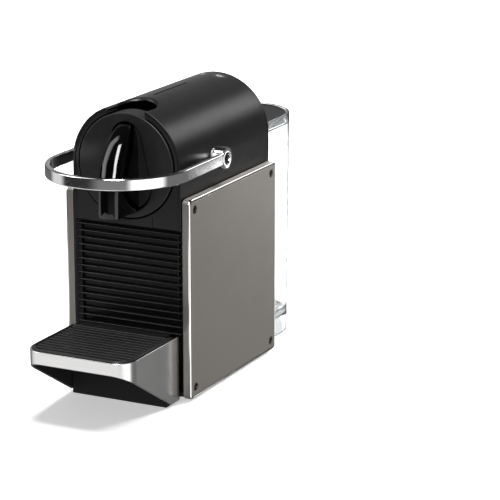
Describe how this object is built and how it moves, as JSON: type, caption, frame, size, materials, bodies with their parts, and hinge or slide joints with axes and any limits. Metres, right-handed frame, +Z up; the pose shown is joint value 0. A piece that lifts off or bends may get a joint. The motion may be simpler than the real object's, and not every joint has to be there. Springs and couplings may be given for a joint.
{
  "type": "pod coffee machine",
  "caption": "Slim pod coffee machine: round casing, metal side panels, U-shaped lever, sliding brew head, louvred capsule drawer, folding cup support and rear water tank.",
  "frame": {"origin": "bottom centre of the whole machine, on the table", "axes": "+X to the machine's right as seen from the front, +Y from the front towards the water tank, +Z up; the front faces -Y"},
  "size_m": [0.118, 0.326, 0.235],
  "materials": {
    "base_plate": "fine texture",
    "rubber_feet": "soft",
    "left_frame": "moulded",
    "right_frame": "moulded",
    "bulkhead": "moulded",
    "mid_deck": "moulded",
    "barrel_casing": "satin gloss",
    "front_fascia": "satin",
    "left_side_panel": "warm metallic",
    "right_side_panel": "warm metallic",
    "panel_screws": "black oxide",
    "back_cover": "satin",
    "cord_gland": "matte",
    "control_panel": "gloss",
    "switch_board": "circuit board",
    "brew_cage": "glass filled",
    "needle_plate": "stamped",
    "cage_seal": "silicone",
    "thermoblock": "cast",
    "pump": "moulded",
    "pump_mounts": "soft",
    "flow_meter": "moulded",
    "inlet_hose": "silicone",
    "suction_hose": "silicone",
    "pressure_hose": "braided",
    "control_board": "circuit board",
    "tank_dock": "moulded",
    "dock_seal": "soft",
    "pivot_bushes": "acetal",
    "lever_band": "polished",
    "pivot_shafts": "turned",
    "lever_screws": "black oxide",
    "crank_arms": "stamped",
    "head_face": "satin",
    "head_shroud": "satin",
    "spout_hood": "gloss",
    "outlet_nozzle": "moulded",
    "extraction_plate": "glass filled",
    "head_side_plates": "glass filled",
    "container_grille": "satin",
    "capsule_container": "moulded",
    "drip_base": "moulded",
    "hinge_pins": "ground",
    "cup_support_band": "satin brushed",
    "support_liner": "moulded",
    "drip_grid": "moulded",
    "small_cup_button": "satin",
    "large_cup_button": "satin",
    "water_tank": "frosted clear",
    "tank_filter": "moulded",
    "valve_cage": "moulded",
    "valve_spring": "drawn wire",
    "valve_poppet": "moulded",
    "tank_lid": "fine leather grain"
  },
  "bodies": {
    "machine": {"base_plate": "base_plate", "rubber_feet": "rubber_feet", "left_frame": "left_frame", "right_frame": "right_frame", "bulkhead": "bulkhead", "mid_deck": "mid_deck", "barrel_casing": "barrel_casing", "front_fascia": "front_fascia", "left_side_panel": "left_side_panel", "right_side_panel": "right_side_panel", "panel_screws": "panel_screws", "back_cover": "back_cover", "cord_gland": "cord_gland", "control_panel": "control_panel", "switch_board": "switch_board", "brew_cage": "brew_cage", "needle_plate": "needle_plate", "cage_seal": "cage_seal", "thermoblock": "thermoblock", "pump": "pump", "pump_mounts": "pump_mounts", "flow_meter": "flow_meter", "inlet_hose": "inlet_hose", "suction_hose": "suction_hose", "pressure_hose": "pressure_hose", "control_board": "control_board", "tank_dock": "tank_dock", "dock_seal": "dock_seal", "pivot_bushes": "pivot_bushes"},
    "lever": {"lever_band": "lever_band", "pivot_shafts": "pivot_shafts", "lever_screws": "lever_screws", "crank_arms": "crank_arms"},
    "brew_head": {"head_face": "head_face", "head_shroud": "head_shroud", "spout_hood": "spout_hood", "outlet_nozzle": "outlet_nozzle", "extraction_plate": "extraction_plate", "head_side_plates": "head_side_plates"},
    "drawer": {"container_grille": "container_grille", "capsule_container": "capsule_container", "drip_base": "drip_base", "hinge_pins": "hinge_pins"},
    "cup_support": {"cup_support_band": "cup_support_band", "support_liner": "support_liner", "drip_grid": "drip_grid"},
    "small_button": {"small_cup_button": "small_cup_button"},
    "large_button": {"large_cup_button": "large_cup_button"},
    "tank": {"water_tank": "water_tank", "tank_filter": "tank_filter", "valve_cage": "valve_cage", "valve_spring": "valve_spring"},
    "valve": {"valve_poppet": "valve_poppet"},
    "lid": {"tank_lid": "tank_lid"}
  },
  "joints": [
    {"name": "lever_hinge", "type": "hinge", "parent": "machine", "child": "lever", "pos_m": [0, -0.021, 0.18725], "axis": [-1, 0, 0], "range_deg": [0, 95]},
    {"name": "head_slide", "type": "slide", "parent": "machine", "child": "brew_head", "axis": [0, -1, 0], "range_m": [0, 0.0281]},
    {"name": "drawer_slide", "type": "slide", "parent": "machine", "child": "drawer", "axis": [0, -1, 0], "range_m": [0, 0.15]},
    {"name": "support_fold", "type": "hinge", "parent": "drawer", "child": "cup_support", "pos_m": [0, -0.084, 0.0505], "axis": [-1, 0, 0], "range_deg": [0, 90]},
    {"name": "small_button_press", "type": "slide", "parent": "machine", "child": "small_button", "axis": [0.1675, 0, -0.9859], "range_m": [0, 0.0012], "stiffness_N_per_m": 400},
    {"name": "large_button_press", "type": "slide", "parent": "machine", "child": "large_button", "axis": [-0.1675, 0, -0.9859], "range_m": [0, 0.0012], "stiffness_N_per_m": 400},
    {"name": "tank_lift", "type": "slide", "parent": "machine", "child": "tank", "axis": [0, 0, 1], "range_m": [0, 0.2]},
    {"name": "lid_lift", "type": "slide", "parent": "tank", "child": "lid", "axis": [0, 0, 1], "range_m": [0, 0.04]},
    {"name": "valve_lift", "type": "slide", "parent": "tank", "child": "valve", "axis": [0, 0, 1], "range_m": [0, 0.0022], "stiffness_N_per_m": 60, "deforming": ["valve_spring"]}
  ],
  "couplings": [
    {"joint": "head_slide", "follows": "lever_hinge", "m_per_rad": 0.016887}
  ]
}
